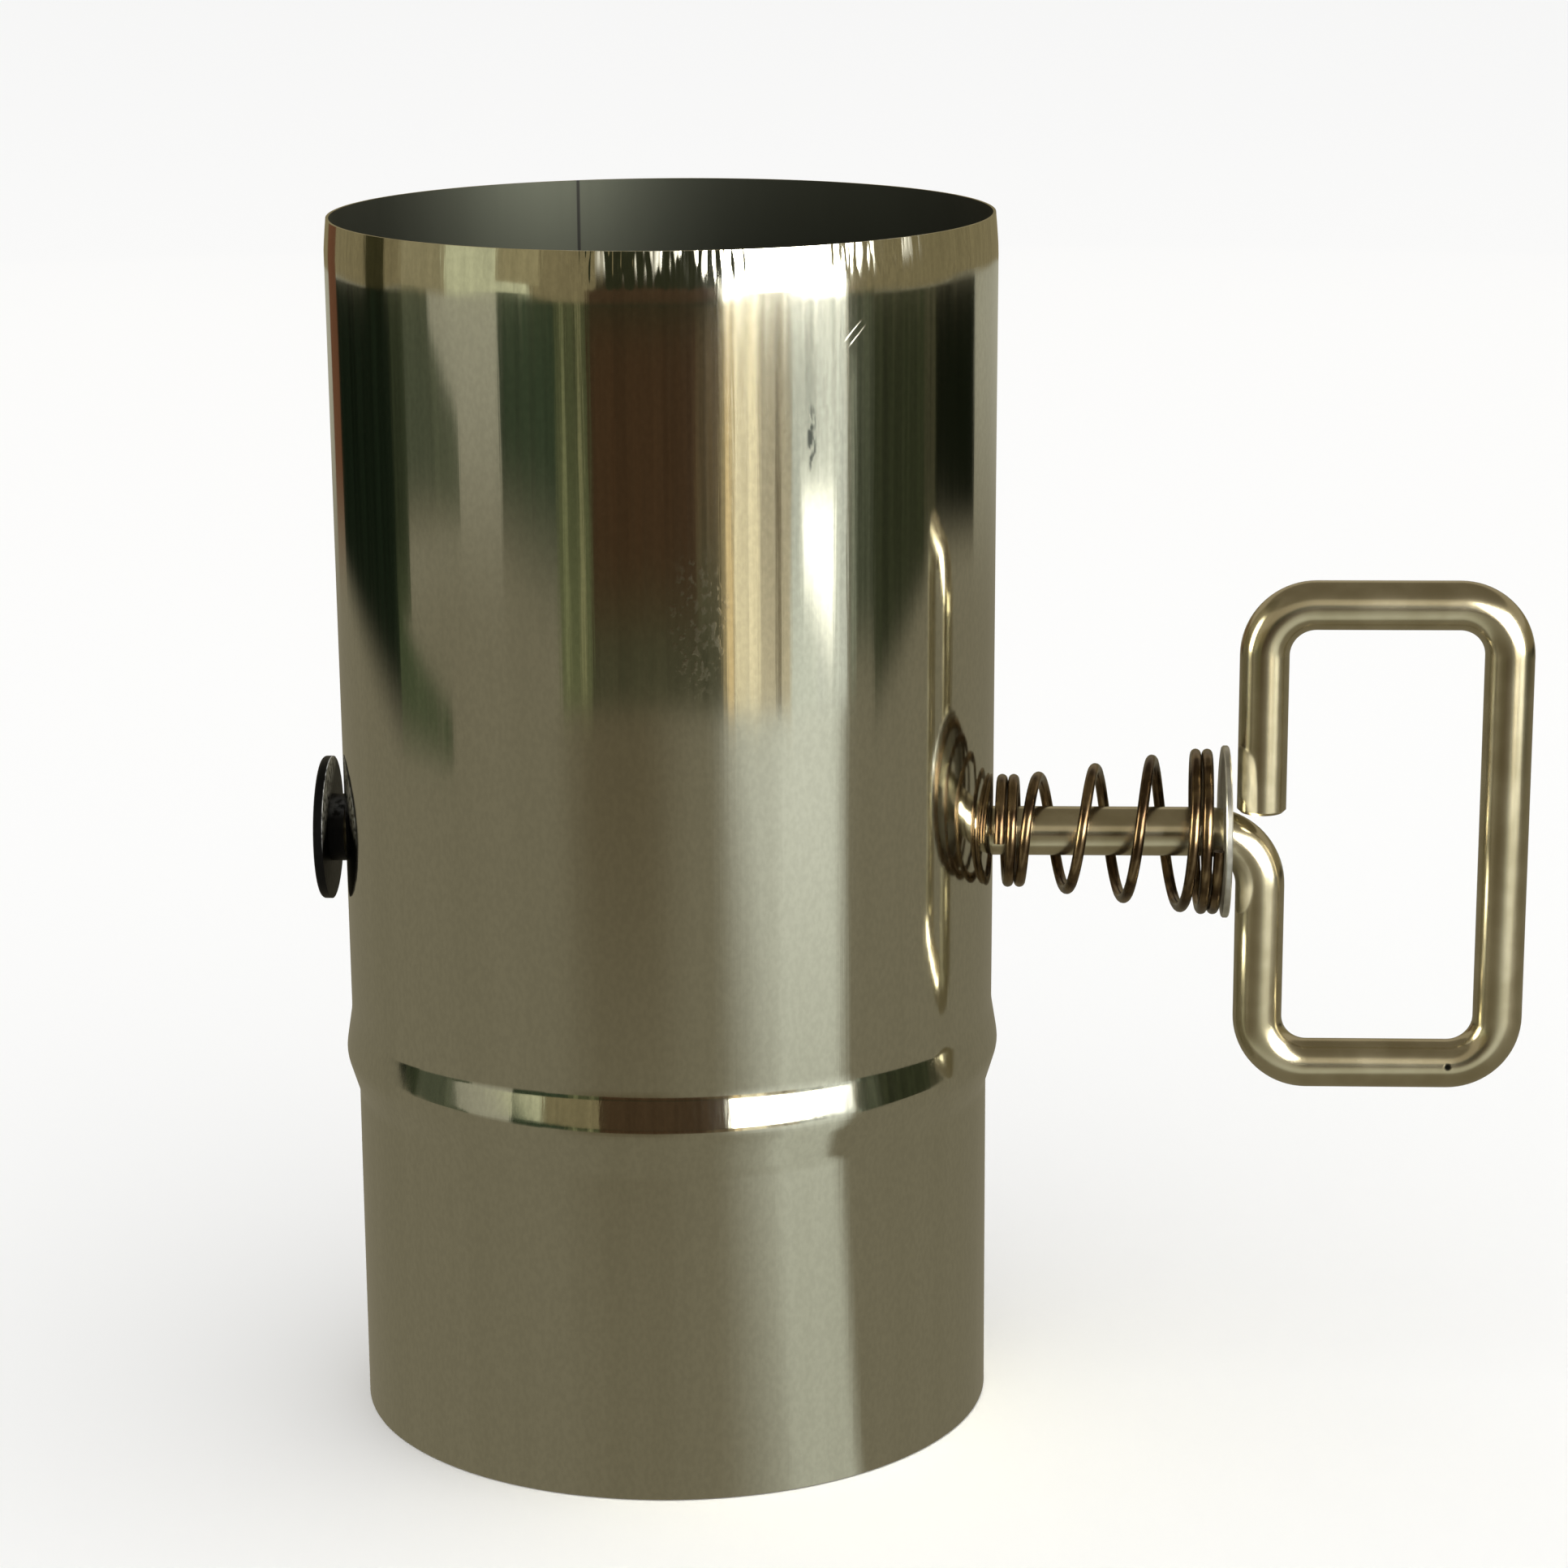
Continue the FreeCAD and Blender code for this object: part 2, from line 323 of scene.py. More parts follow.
def smooth_area(share):
    """The area under a smooth rise from 0 to 1: 0 before it, s^3 - s^4 / 2 within it, s - 1/2 after it."""
    inside = np.clip(share, 0, 1)
    return inside ** 3 - inside ** 4 / 2 + np.maximum(share - 1, 0)


def make_spring():
    """Conical spring: a circle carried along a left-hand helix about the shaft.

    Pitch and radius grow only over the open turns, with a smooth change at their ends.
    """
    turns = SPRING_OPEN_TURNS + 2 * SPRING_CLOSED_TURNS
    turn = np.linspace(0, turns, round(turns * SPRING_STEPS_PER_TURN) + 1)
    risen = smooth_area((turn - SPRING_CLOSED_TURNS) / SPRING_BLEND_TURNS + 0.5)
    fallen = smooth_area((turn - SPRING_CLOSED_TURNS - SPRING_OPEN_TURNS) / SPRING_BLEND_TURNS + 0.5)
    opened = SPRING_BLEND_TURNS * (risen - fallen)
    start = BODY_RADIUS + SPRING_SEAT_GAP + SPRING_WIRE / 2
    end = washer_low.x - SPRING_SEAT_GAP - SPRING_WIRE / 2
    closed_pitch = SPRING_WIRE + SPRING_CLOSED_GAP
    extra_pitch = (end - start - closed_pitch * turns) / SPRING_OPEN_TURNS
    radius = (SPRING_NARROW + (SPRING_WIDE - SPRING_NARROW) * opened / SPRING_OPEN_TURNS - SPRING_WIRE) / 2
    angle = 2 * np.pi * turn
    radial = np.stack([0 * angle, -np.cos(angle), np.sin(angle)], axis=1)
    line = radius[:, None] * radial
    line[:, 0] = start + closed_pitch * turn + extra_pitch * opened
    line[:, 2] += SHAFT_HEIGHT
    way = np.gradient(line, axis=0)
    way /= np.linalg.norm(way, axis=1)[:, None]
    sideways = np.cross(way, radial)
    sideways /= np.linalg.norm(sideways, axis=1)[:, None]
    outward = np.cross(sideways, way)
    radii = np.full(len(line), SPRING_WIRE / 2)
    return skin("handle_spring", circles(line, radii, outward, sideways, SPRING_SIDES), False)


def make_washer():
    """Flat washer: its section is a rectangle with softened corners, turned round the shaft."""
    outer = washer_high.y
    low, high = washer_low.x, washer_high.x
    edge = WASHER_EDGE
    hole = WASHER_HOLE_RADIUS
    radii = [outer - edge, outer, outer, outer - edge, hole + edge, hole, hole, hole + edge]
    places = [low, low + edge, high - edge, high, high, high - edge, low + edge, low]
    return turned("spring_washer", radii, places, True)


def make_button():
    """Retaining button: a disc with a rounded face edge and a hub with the shaft's blind bore, turned.

    The face edge is a quarter circle from the face to the rim.
    """
    outer = button_high.y
    bore = ROD_RADIUS + BUTTON_BORE_CLEARANCE
    disc_back = button_high.x - BUTTON_HUB_LENGTH
    arc = np.linspace(0, np.pi / 2, 8)
    radii = np.concatenate([outer - BUTTON_BEVEL + BUTTON_BEVEL * np.sin(arc),
                            [outer, BUTTON_HUB_RADIUS, BUTTON_HUB_RADIUS, bore, bore]])
    places = np.concatenate([button_low.x + BUTTON_BEVEL - BUTTON_BEVEL * np.cos(arc),
                             [disc_back, disc_back, button_high.x, button_high.x, rod_low.x]])
    return turned("end_cap", radii, places, False)


class Wire:
    """A socket in a material's nodes, usable in sums and products."""

    def __init__(self, finish, socket):
        self.finish = finish
        self.socket = socket

    def math(self, operation, first, second=0.0):
        return self.finish.node("ShaderNodeMath", {"operation": operation}, {0: first, 1: second})

    def __add__(self, other):
        return self.math("ADD", self, other)

    __radd__ = __add__

    def __sub__(self, other):
        return self.math("SUBTRACT", self, other)

    def __rsub__(self, other):
        return self.math("SUBTRACT", other, self)

    def __mul__(self, other):
        return self.math("MULTIPLY", self, other)

    __rmul__ = __mul__

    def __abs__(self):
        return self.math("ABSOLUTE", self)

    def between(self, low, high):
        """0 up to low, 1 from high, with a smooth rise between."""
        sockets = {"Value": self, "From Min": low, "From Max": high}
        return self.finish.node("ShaderNodeMapRange", {"interpolation_type": "SMOOTHSTEP"}, sockets)


class Finish:
    """A material and the nodes that make it."""

    def __init__(self, name):
        self.material = bpy.data.materials.new(name)
        self.material.use_nodes = True
        self.tree = self.material.node_tree
        self.shader = self.tree.nodes["Principled BSDF"]

    def node(self, kind, settings, sockets, output=0):
        """Adds a node: its settings first, then the values or links of its sockets. Gives one output."""
        made = self.tree.nodes.new(kind)
        for key, value in settings.items():
            setattr(made, key, value)
        for key, value in sockets.items():
            self.join(made.inputs[key], value)
        return Wire(self, made.outputs[output])

    def join(self, socket, value):
        """Links a wire to a socket, or sets a plain value on it."""
        if isinstance(value, Wire):
            self.tree.links.new(value.socket, socket)
        else:
            socket.default_value = value

    def set(self, **sockets):
        """Values or links of the surface shader, named with underscores for spaces."""
        for key, value in sockets.items():
            self.join(self.shader.inputs[key.replace("_", " ")], value)

    def place(self, stretch=(1.0, 1.0, 1.0)):
        """The point on the object, with each axis multiplied by its stretch."""
        spot = self.node("ShaderNodeTexCoord", {}, {}, "Object")
        return self.node("ShaderNodeVectorMath", {"operation": "MULTIPLY"}, {0: spot, 1: stretch})

    def parts(self, vector):
        """A vector's three parts as wires."""
        return [self.node("ShaderNodeSeparateXYZ", {}, {0: vector}, axis) for axis in "XYZ"]

    def noise(self, spot, scale, detail=2.0):
        """Soft random values around one half."""
        return self.node("ShaderNodeTexNoise", {}, {"Vector": spot, "Scale": scale, "Detail": detail})

    def blend(self, share, first, second):
        """One colour going over to another by a share."""
        return self.node("ShaderNodeMix", {"data_type": "RGBA"}, {"Factor": share, 6: first, 7: second}, 2)

    def bump(self, height):
        """A normal that leans with a height in metres."""
        return self.node("ShaderNodeBump", {}, {"Height": height, "Strength": 1.0, "Distance": 1.0})


def paint(colour):
    """A colour with full opacity."""
    return (*colour, 1.0)


def seam_line(x, y, half_width):
    """1 on the sheet's lengthwise seam: near the upright plane at its azimuth, on its side of the axis."""
    across = abs(x * math.sin(SEAM_AZIMUTH) - y * math.cos(SEAM_AZIMUTH))
    ahead = x * math.cos(SEAM_AZIMUTH) + y * math.sin(SEAM_AZIMUTH)
    return (1.0 - across.between(0.4 * half_width, half_width)) * ahead.between(0.0, MM)


def wall_patch(bearing, z, place, half_width, half_height):
    """1 in the middle of a soft oval on the pipe's wall, and 0 outside it."""
    azimuth, height = place
    across = (bearing - math.radians(azimuth)) * (BODY_RADIUS / half_width)
    up = (z - height) * (1 / half_height)
    return 1.0 - (across * across + up * up).between(0.25, 1.0)


def scratch_pair(bearing, z, place):
    """1 on two short scratches side by side on the pipe's wall, which rise to the right at 45 degrees."""
    azimuth, height = place
    sideways = (bearing - math.radians(azimuth)) * BODY_RADIUS
    up = z - height
    across = abs(abs(sideways - up) - SCRATCH_SPACING / 2)
    along = abs(sideways + up)
    return (1.0 - across.between(0.02 * MM, 0.12 * MM)) * (1.0 - along.between(1.0 * MM, 2.0 * MM))


def polished_steel():
    """Bright rolled stainless: lengthwise polishing lines, a rippled rim, scuffs, scratches and the seam."""
    finish = Finish("polished_steel")
    x, y, z = finish.parts(finish.place())
    bearing = x.math("ARCTAN2", y, x)
    lines = finish.noise(finish.place((1.0, 1.0, 0.02)), 2600.0, 3.0)
    bands = finish.noise(finish.place((1.0, 1.0, 0.03)), 380.0)
    strokes = finish.noise(finish.place((1.0, 1.0, 0.05)), 1700.0, 1.0)
    specks = finish.noise(finish.place((1.0, 1.0, 0.6)), 2200.0, 3.0).between(0.54, 0.62)
    on_rim = z.between(PIPE_HEIGHT - RIM_BAND - 0.3 * MM, PIPE_HEIGHT - 0.6 * MM)
    front = wall_patch(bearing, z, RIM_STROKES_FRONT, 9.0 * MM, RIM_STROKES_REACH)
    side = wall_patch(bearing, z, RIM_STROKES_SIDE, 6.4 * MM, RIM_STROKES_REACH)
    rippled = on_rim * (0.05 + front + 0.8 * side)
    rim_wear_and_cap_highlight = rippled * strokes.between(0.56, 0.63)
    scuffed = specks * wall_patch(bearing, z, SCUFFS, 3.2 * MM, 7.5 * MM)
    scratches = scratch_pair(bearing, z, SCRATCHES)
    smudged = wall_patch(bearing, z, SMUDGE, 0.5 * MM, 3.4 * MM)
    smudge = smudged * finish.noise(finish.place((1.0, 1.0, 0.4)), 1700.0).between(0.42, 0.6)
    seam = seam_line(x, y, 0.2 * MM)
    steel = finish.blend(bands.between(0.3, 0.7), paint((0.67, 0.66, 0.565)), paint((0.70, 0.69, 0.595)))
    grain = finish.noise(finish.place((1.0, 1.0, 0.6)), 2400.0, 2.0)
    steel = finish.blend(0.22 * grain.between(0.3, 0.7), steel, paint((0.44, 0.43, 0.37)))
    steel = finish.blend(0.8 * smudge, steel, paint((0.04, 0.05, 0.05)))
    steel = finish.blend(seam, steel, paint((0.10, 0.10, 0.08)))
    roughness = 0.05 + 0.05 * lines + 0.04 * scuffed + 0.35 * (rim_wear_and_cap_highlight + seam) + 0.14 * scratches
    relief = 3.0 * lines + 12.0 * bands + scuffed + 2.0 * scratches + 110.0 * (strokes - 0.5) * rippled
    finish.set(Base_Color=steel, Metallic=1.0, Roughness=roughness, Normal=finish.bump(relief * MICRON))
    return finish.material


def dull_inside_steel():
    """The pipe's inside: the same sheet, dull, with a painted shade of the tube's hollow in its dark colour, and
    the seam's line.
    """
    finish = Finish("dull_inside_steel")
    x, y, _ = finish.parts(finish.place())
    cloud = finish.noise(finish.place((1.0, 1.0, 0.3)), 120.0, 3.0)
    grain = finish.noise(finish.place((1.0, 1.0, 0.05)), 1500.0, 2.0)
    seam = seam_line(x, y, 0.22 * MM)
    # Painted shade: the near-black tones stand in for the shade inside the tube, not for a darker sheet.
    steel = finish.blend(cloud, paint((0.044, 0.048, 0.035)), paint((0.056, 0.061, 0.045)))
    finish.set(Base_Color=finish.blend(seam, steel, paint((0.01, 0.01, 0.008))), Metallic=0.7,
               Roughness=0.48 + 0.08 * cloud + 0.06 * grain)
    return finish.material


def bronzed_rod():
    """The rod's plating: a warm bronze grey with a satin polish, faint mottling and one small pit."""
    finish = Finish("bronzed_rod")
    mottle = finish.noise(finish.place(), 260.0, 3.0)
    fine = finish.noise(finish.place(), 2600.0, 2.0)
    pit_place = (rod_high.x - 6.9 * MM, -ROD_RADIUS, rod_low.z + ROD_RADIUS + 0.3 * MM)
    away = finish.node("ShaderNodeVectorMath", {"operation": "DISTANCE"},
                       {0: finish.place(), 1: pit_place}, "Value")
    pit = 1.0 - away.between(0.2 * MM, 0.42 * MM)
    tone = finish.blend(mottle.between(0.3, 0.75), paint((0.53, 0.475, 0.33)), paint((0.63, 0.575, 0.425)))
    finish.set(Base_Color=finish.blend(pit, tone, paint((0.02, 0.02, 0.015))), Metallic=1.0,
               Roughness=0.17 + 0.06 * mottle)
    finish.set(Normal=finish.bump((fine - 12.0 * pit) * MICRON))
    return finish.material


def tempered_spring():
    """Spring wire: dark brown from tempering, uneven along the wire."""
    finish = Finish("tempered_spring")
    uneven = finish.noise(finish.place(), 420.0, 3.0)
    tone = finish.blend(uneven.between(0.35, 0.65), paint((0.075, 0.047, 0.026)), paint((0.22, 0.155, 0.085)))
    finish.set(Base_Color=tone, Metallic=1.0, Roughness=0.18 + 0.12 * uneven)
    return finish.material


def zinc_plate():
    """Washer: zinc grey, with faint cloudy marks."""
    finish = Finish("zinc_plate")
    cloud = finish.noise(finish.place(), 700.0, 3.0)
    tone = finish.blend(cloud.between(0.35, 0.7), paint((0.50, 0.50, 0.48)), paint((0.66, 0.66, 0.64)))
    finish.set(Base_Color=tone, Metallic=1.0, Roughness=0.3 + 0.1 * cloud)
    return finish.material


def black_cap():
    """End button: black coating with a slight grain, and a painted highlight in pale grey on the upper front of
    its back face.
    """
    finish = Finish("black_cap")
    x, y, z = finish.parts(finish.place())
    grain = finish.noise(finish.place(), 1800.0, 3.0)
    disc_back = button_high.x - BUTTON_HUB_LENGTH
    on_back = x.between(disc_back - 0.1 * MM, disc_back)
    # Painted highlight: a pale grey patch on the upper part of the disc's back face, standing in for light caught
    # there.
    upper = (z - 0.6 * y).between(SHAFT_HEIGHT + 3.0 * MM, SHAFT_HEIGHT + 6.0 * MM)
    rim_wear_and_cap_highlight = on_back * upper * grain.between(0.3, 0.6)
    tone = finish.blend(grain, paint((0.002, 0.002, 0.002)), paint((0.006, 0.006, 0.006)))
    finish.set(Base_Color=finish.blend(rim_wear_and_cap_highlight, tone, paint((0.85, 0.85, 0.80))), Metallic=0.0,
               Specular_IOR_Level=0.12, Roughness=0.35 + 0.15 * grain)
    finish.set(Normal=finish.bump(grain * (3.0 * MICRON)))
    return finish.material


def satin_plate():
    """Damper plate: satin sheet with a grain along the shaft."""
    finish = Finish("satin_plate")
    grain = finish.noise(finish.place((0.03, 1.0, 1.0)), 2600.0, 3.0)
    tone = finish.blend(grain, paint((0.50, 0.49, 0.44)), paint((0.62, 0.61, 0.55)))
    finish.set(Base_Color=tone, Metallic=1.0, Roughness=0.24 + 0.14 * grain)
    finish.set(Normal=finish.bump(grain * MICRON))
    return finish.material


def emit(finish, light):
    """Makes a studio sheet's surface plain light, with no gloss of its own."""
    finish.set(Base_Color=paint((0.0, 0.0, 0.0)), Specular_IOR_Level=0.0,
               Emission_Color=light, Emission_Strength=1.0)
    return finish.material


def glow(name, colour, low_colour=None, fade=0.0, angles=(0, 0), streaks=0.0):
    """Light for a studio sheet, which may have upright streaks and another colour towards its lower edge.

    The streaks are noise along the sheet's angle in degrees, and vary the colour by their share each way.
    """
    finish = Finish(name)
    across, along, _ = finish.parts(finish.node("ShaderNodeTexCoord", {}, {}, "UV"))
    light = paint(colour)
    if streaks:
        spot = {0: across * (angles[1] - angles[0]) + angles[0], 1: along * 0.4, 2: 0.0}
        noise = finish.noise(finish.node("ShaderNodeCombineXYZ", {}, spot), 0.8, 2.0)
        dim, bright = [paint([part * share for part in colour]) for share in (1 - streaks, 1 + streaks)]
        light = finish.blend(noise.between(0.3, 0.7), dim, bright)
    if low_colour:
        light = finish.blend(along.between(0.0, fade), paint(low_colour), light)
    return emit(finish, light)


def studio_sheet(name, points, material):
    """A stage sheet over a grid of points, with its rows and columns as UV. Only reflections see it."""
    rows, columns = points.shape[:2]
    row = np.arange(rows - 1)[:, None]
    column = np.arange(columns - 1)[None, :]
    start = row * columns + column
    corners = np.stack([start, start + 1, start + columns + 1, start + columns], axis=-1).reshape(-1, 4)
    mesh = bpy.data.meshes.new(name)
    mesh.from_pydata(points.reshape(-1, 3), [], corners.tolist())
    spread = np.stack([corners % columns / (columns - 1), corners // columns / (rows - 1)], axis=-1)
    mesh.uv_layers.new().uv.foreach_set("vector", spread.ravel())
    mesh.materials.append(material)
    sheet = bpy.data.objects.new(name, mesh)
    bpy.context.scene.collection.objects.link(sheet)
    sheet.visible_camera = False
    sheet.visible_diffuse = False
    sheet.visible_shadow = False
    sheet.visible_transmission = False
    return sheet


def heading(degrees):
    """Unit X and Y of a direction, from its angle to the camera's side, positive to the right."""
    azimuth = np.radians(degrees) + CAMERA_SIDE_ANGLE - np.pi / 2
    return np.cos(azimuth), np.sin(azimuth)


def around_sheet(name, angles, low, high, material):
    """A sheet round the object between two angles, from a low to a high (distance, height) edge.

    A height may be a pair, from the first angle to the last.
    """
    columns = max(2, round((angles[1] - angles[0]) / 2))
    across, back = heading(np.linspace(*angles, columns))
    edges = []
    for distance, height in (low, high):
        heights = np.linspace(*np.broadcast_to(height, 2), columns)
        edges.append(np.stack([distance * across, distance * back, heights], axis=-1))
    return studio_sheet(name, np.stack(edges), material)


def wall(name, low, high, material):
    """A round wall behind all cards, between two heights."""
    around_sheet(name, ALL_ROUND, (WALL_DISTANCE, low), (WALL_DISTANCE, high), material)


def card(name, angles, low, high, colour, low_colour=None, fade=0.5, streaks=0.2):
    """A streaky card standing round the object: between two angles, from a lower end to a top."""
    material = glow(name + "_glow", colour, low_colour, fade, angles, streaks)
    around_sheet(name, angles, (CARD_DISTANCE, low), (CARD_DISTANCE, high), material)


def line_card(name, angles, low, high, colour):
    """A narrow plain card that stands just in front of the others."""
    around_sheet(name, angles, (LINE_DISTANCE, low), (LINE_DISTANCE, high), glow(name + "_glow", colour))


def table_path(name, angles, near, far, soft, steps, widening):
    """A strip of the table top that mirrors as an upright streak on the pipe, soft at its two sides.

    Each line along it starts on the pipe's wall at half its angle, and runs out at its full angle. The soft
    width at its first side goes from a near to a far share, and part of its light starts at a step across it.
    Close to the pipe its last side is widened by some degrees, which fade out over a short way.
    """
    finish = Finish(name + "_glow")
    across, along, _ = finish.parts(finish.node("ShaderNodeTexCoord", {}, {}, "UV"))
    first_width = soft[0] + (soft[1] - soft[0]) * along
    step_share, step_from, step_to = steps
    rise = (1 - step_share) * across.between(0.0, first_width)
    rise = rise + step_share * across.between(step_from, step_to)
    share = rise * (1.0 - across.between(1.0 - soft[2], 1.0))
    light = finish.blend(along.between(0.0, 0.9), paint(near), paint(far))
    material = emit(finish, finish.blend(share, paint(TABLE_GLOW), light))
    length = np.linspace(0.0, PATH_LENGTH, PATH_ROWS)[:, None]
    widened = widening * np.clip(1 - length / WIDENED_LENGTH, 0, 1)
    column = np.linspace(0, 1, PATH_COLUMNS)[None, :]
    angle = angles[0] + (angles[1] + widened - angles[0]) * column
    wall_x, wall_y = heading(angle / 2)
    out_x, out_y = heading(angle)
    points = [SPIGOT_RADIUS * wall_x + length * out_x, SPIGOT_RADIUS * wall_y + length * out_y,
              0 * length * out_x - FLOOR_DROP / 2]
    studio_sheet(name, np.stack(points, axis=-1), material)


def make_studio():
    """Floor, soft light, and the table top and cards that the polish mirrors."""
    scene = bpy.context.scene
    scene.view_settings.view_transform = "Standard"
    world = bpy.data.worlds.new("soft_light")
    scene.world = world
    world.use_nodes = True
    world.node_tree.nodes["Background"].inputs["Color"].default_value = paint((1.0, 1.0, 1.0))
    world.node_tree.nodes["Background"].inputs["Strength"].default_value = SOFT_LIGHT
    world.cycles_visibility.glossy = False
    floor_finish = Finish("pale_floor")
    floor_finish.set(Base_Color=paint((0.96, 0.96, 0.955)), Roughness=0.9)
    reach = np.array([-FLOOR_REACH, FLOOR_REACH])
    corners = np.stack([reach[None, :] + 0 * reach[:, None], reach[:, None] + 0 * reach[None, :],
                        np.full((2, 2), -FLOOR_DROP)], axis=-1)
    floor = studio_sheet("floor", corners, floor_finish.material)
    floor.visible_camera = True
    floor.visible_diffuse = True
    floor.visible_shadow = True
    floor.visible_glossy = False

    table_edges = [(0.0, -FLOOR_DROP), (TABLE_RADIUS, -FLOOR_DROP)]
    around_sheet("table", ALL_ROUND, *table_edges, glow("table_glow", TABLE_GLOW))
    table_path("day_path", (12, 66), (0.54, 0.545, 0.46), (0.80, 0.82, 0.735), (0.62, 0.28, 0.15),
               (0.25, 0.4, 0.55), 6)
    table_path("shade_path", (-45, 12), (0.205, 0.182, 0.124), (0.145, 0.120, 0.074), (0.4, 0.4, 0.4),
               (0, 0, 1), 0)

    wall("under_wall", WALL_BOTTOM, LOWER_WALL_BOTTOM, glow("under_wall_glow", TABLE_GLOW))
    wall("lower_wall", LOWER_WALL_BOTTOM, HORIZON,
         glow("lower_wall_glow", (0.40, 0.385, 0.30), TABLE_GLOW, 0.95))
    wall("upper_wall", HORIZON, UPPER_WALL_TOP,
         glow("upper_wall_glow", (0.24, 0.20, 0.11), None, 0.0, ALL_ROUND, 0.25))
    wall("high_wall", UPPER_WALL_TOP, CEILING_HEIGHT, glow("high_wall_glow", (0.44, 0.39, 0.29)))
    around_sheet("ceiling", ALL_ROUND, (0.0, CEILING_HEIGHT), (WALL_DISTANCE, CEILING_HEIGHT),
                 glow("ceiling_glow", (0.19, 0.165, 0.115)))

    card("left_rust", (-156, -144), -0.11, UPPER_WALL_TOP, (0.14, 0.062, 0.032), TABLE_GLOW, 0.15)
    card("left_dark", (-144, -104), (-0.110, -0.160), HORIZON, (0.008, 0.013, 0.007), TABLE_GLOW, 0.25, 0.5)
    card("left_tip", (-104, -78), -0.160, (-0.106, -0.138), (0.066, 0.084, 0.042), TABLE_GLOW, 0.6)
    card("left_pole", (-118, -106), HORIZON, UPPER_WALL_TOP, (0.04, 0.036, 0.015))
    card("left_shade", (-104, -97), -0.108, HORIZON, (0.034, 0.042, 0.022), (0.06, 0.072, 0.036), 0.3, 0.4)
    card("left_grey", (-97, -84), -0.084, HORIZON, (0.076, 0.086, 0.054), FLOOR_EDGE_GLOW, 0.25)
    card("left_fold", (-84, -73), -0.082, (-0.022, -0.046), (0.09, 0.10, 0.062), FLOOR_EDGE_GLOW, 0.3)
    card("pale_side", (-97, -76), HORIZON, UPPER_WALL_TOP, (0.31, 0.27, 0.16))
    card("pale_gap", (-76, -56), HORIZON, UPPER_WALL_TOP, PALE_GLOW)
    card("pale_low", (-56, -44), GREEN_TOP, BEAD_TOP, PALE_GLOW)
    card("tan_side", (-56, -40), BEAD_TOP, UPPER_WALL_TOP, (0.33, 0.285, 0.16))
    card("green", (-56, -36), (-0.103, -0.122), GREEN_TOP, (0.034, 0.050, 0.027), TABLE_GLOW, 0.5, 0.3)
    card("olive", (-36, -25), -0.148, GREEN_TOP, (0.062, 0.070, 0.033), (0.135, 0.145, 0.07), 0.9, 0.7)
    card("brown", (-25, 11), BROWN_BOTTOM, BEAM_EDGE_BOTTOM, (0.060, 0.033, 0.016),
         (0.066, 0.052, 0.026), 0.25)
    card("brown_side", (11, 18), BROWN_BOTTOM, BEAM_EDGE_BOTTOM, (0.115, 0.080, 0.040),
         (0.095, 0.090, 0.050), 0.5, 0.5)
    card("brown_foot", (-25, 18), -0.166, BROWN_BOTTOM, (0.068, 0.067, 0.037), (0.16, 0.14, 0.09), 0.6)
    card("beam_edge", (-25, 18), BEAM_EDGE_BOTTOM, BEAM_EDGE_TOP, BEAM_GLOW)
    card("brown_top", (-25, 18), BEAM_EDGE_TOP, BEAD_TOP, (0.066, 0.040, 0.021))
    card("beam", (-22, 18), BEAD_TOP, UPPER_WALL_TOP, BEAM_GLOW)
    card("day_edge", (18, 23), DAY_BOTTOM, DAY_TOP, (0.34, 0.27, 0.145))
    card("day_left", (23, 31), DAY_BOTTOM, DAY_TOP, (1.06, 0.93, 0.635), (0.90, 0.79, 0.54), 0.3, 0.3)
    card("day_curtain", (31, 42), DAY_BOTTOM, DAY_TOP, (0.385, 0.337, 0.234), (0.68, 0.595, 0.413), 0.9, 0.4)
    card("day_middle", (42, 52), DAY_BOTTOM, DAY_TOP, (0.46, 0.482, 0.431), (0.83, 0.869, 0.778), 0.9, 0.35)
    card("day_right", (52, 63), DAY_BOTTOM, DAY_TOP, (0.80, 0.83, 0.76), None, 0.0, 0.3)
    around_sheet("day_blob", (46, 58), (LINE_DISTANCE, (-0.098, -0.126)), (LINE_DISTANCE, -0.070),
                 glow("day_blob_glow", (2.4, 2.42, 2.2), (0.9, 0.92, 0.83), 0.4))
    line_card("olive_line", (-33.6, -32.4), -0.13, GREEN_TOP, (0.24, 0.25, 0.125))
    line_card("brown_line", (-28.2, -27.2), -0.13, GREEN_TOP, (0.30, 0.29, 0.15))
    line_card("gold_line", (20.2, 22.0), -0.15, DAY_TOP, (0.98, 0.74, 0.38))
    line_card("curtain_line", (37.2, 38.4), -0.155, DAY_TOP, (0.16, 0.125, 0.07))
    line_card("pane_line", (47.6, 48.6), -0.045, 0.004, (0.24, 0.255, 0.23))
    line_card("right_line", (64.6, 66.2), -0.13, -0.03, (0.27, 0.29, 0.22))
    card("day_window", (19, 62), DAY_TOP, WINDOW_TOP, (20.0, 19.6, 18.0), None, 0.0, 0.0)
    card("right_shade", (64, 74), -0.136, 0.0, (0.072, 0.081, 0.050), TABLE_GLOW, 0.25, 0.4)
    card("right_dark", (74, 98), (-0.152, -0.110), HORIZON, (0.032, 0.037, 0.018), TABLE_GLOW, 0.2, 0.4)
    card("right_side", (98, 104), -0.112, HORIZON, (0.058, 0.056, 0.031), TABLE_GLOW, 0.3, 0.6)
    card("right_deep", (104, 131), -0.096, HORIZON, (0.006, 0.008, 0.004), TABLE_GLOW, 0.25)


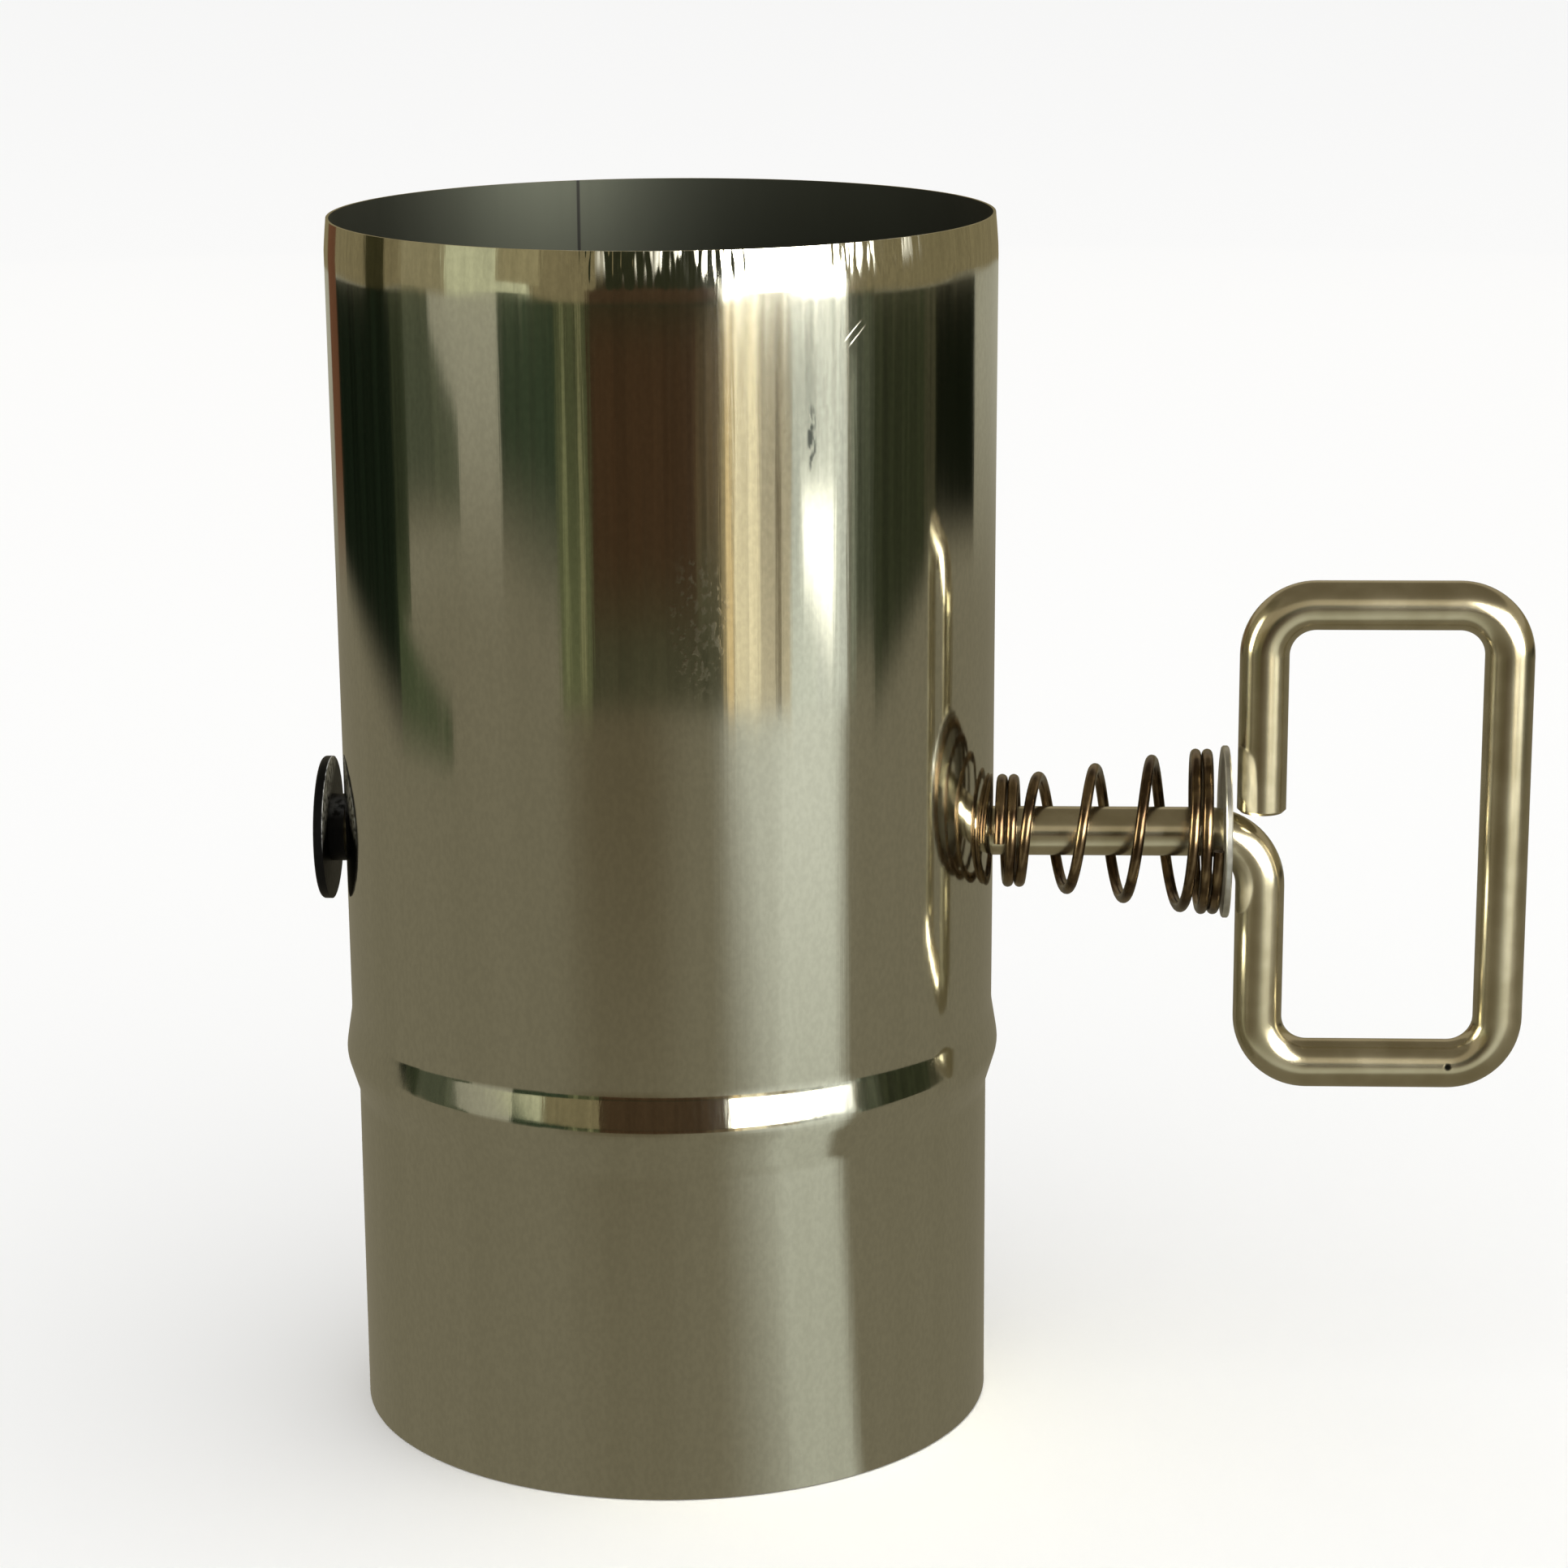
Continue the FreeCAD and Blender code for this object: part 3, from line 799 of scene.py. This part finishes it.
def make_camera():
    """The camera at the photograph's place, turned by heading, pitch and roll."""
    ahead = Vector((math.sin(CAMERA_HEADING) * math.cos(CAMERA_PITCH),
                    math.cos(CAMERA_HEADING) * math.cos(CAMERA_PITCH), -math.sin(CAMERA_PITCH)))
    level = Vector((math.cos(CAMERA_HEADING), -math.sin(CAMERA_HEADING), 0.0))
    upright = level.cross(ahead)
    right = math.cos(CAMERA_ROLL) * level + math.sin(CAMERA_ROLL) * upright
    above = math.cos(CAMERA_ROLL) * upright - math.sin(CAMERA_ROLL) * level
    data = bpy.data.cameras.new("camera")
    data.sensor_width = CAMERA_SENSOR
    data.lens = CAMERA_LENS
    data.clip_start = 0.01
    camera = bpy.data.objects.new("camera", data)
    place = Vector((CAMERA_DISTANCE * math.sin(CAMERA_SIDE_ANGLE),
                    -CAMERA_DISTANCE * math.cos(CAMERA_SIDE_ANGLE), CAMERA_HEIGHT))
    camera.matrix_world = Matrix.Translation(place) @ Matrix((right, above, -ahead)).transposed().to_4x4()
    bpy.context.scene.collection.objects.link(camera)
    bpy.context.scene.camera = camera


def dress(piece, body, node, slot, *materials):
    """Gives a piece its materials, puts it on its body and lets it stand for its node."""
    for material in materials:
        piece.data.materials.append(material)
    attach(piece, body)
    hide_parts(node)
    return piece


def paint_inside(pipe):
    """Gives the inner wall's faces the second material: those that look towards the pipe's axis."""
    count = len(pipe.data.polygons)
    centre = np.empty(count * 3)
    normal = np.empty(count * 3)
    pipe.data.polygons.foreach_get("center", centre)
    pipe.data.polygons.foreach_get("normal", normal)
    outward = (centre.reshape(-1, 3)[:, :2] * normal.reshape(-1, 3)[:, :2]).sum(axis=1)
    pipe.data.polygons.foreach_set("material_index", (outward < -0.5 * SPIGOT_RADIUS).astype(np.int32))


make_studio()
make_camera()
pipe = dress(make_pipe(), "pipe", "pipe", "polished_steel", polished_steel(), dull_inside_steel())
paint_inside(pipe)
dress(make_rod(), "damper", "handle_rod", "rod_steel", bronzed_rod())
spring = dress(make_spring(), "pipe", "return_spring", "spring_steel", tempered_spring())
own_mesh(spring)
dress(make_washer(), "washer", "handle_washer", "washer_zinc", zinc_plate())
dress(make_button(), "damper", "end_button", "button_black", black_cap())
plate_mesh = frame["nodes"]["damper_plate"].data
plate_mesh.materials.clear()
plate_mesh.materials.append(satin_plate())
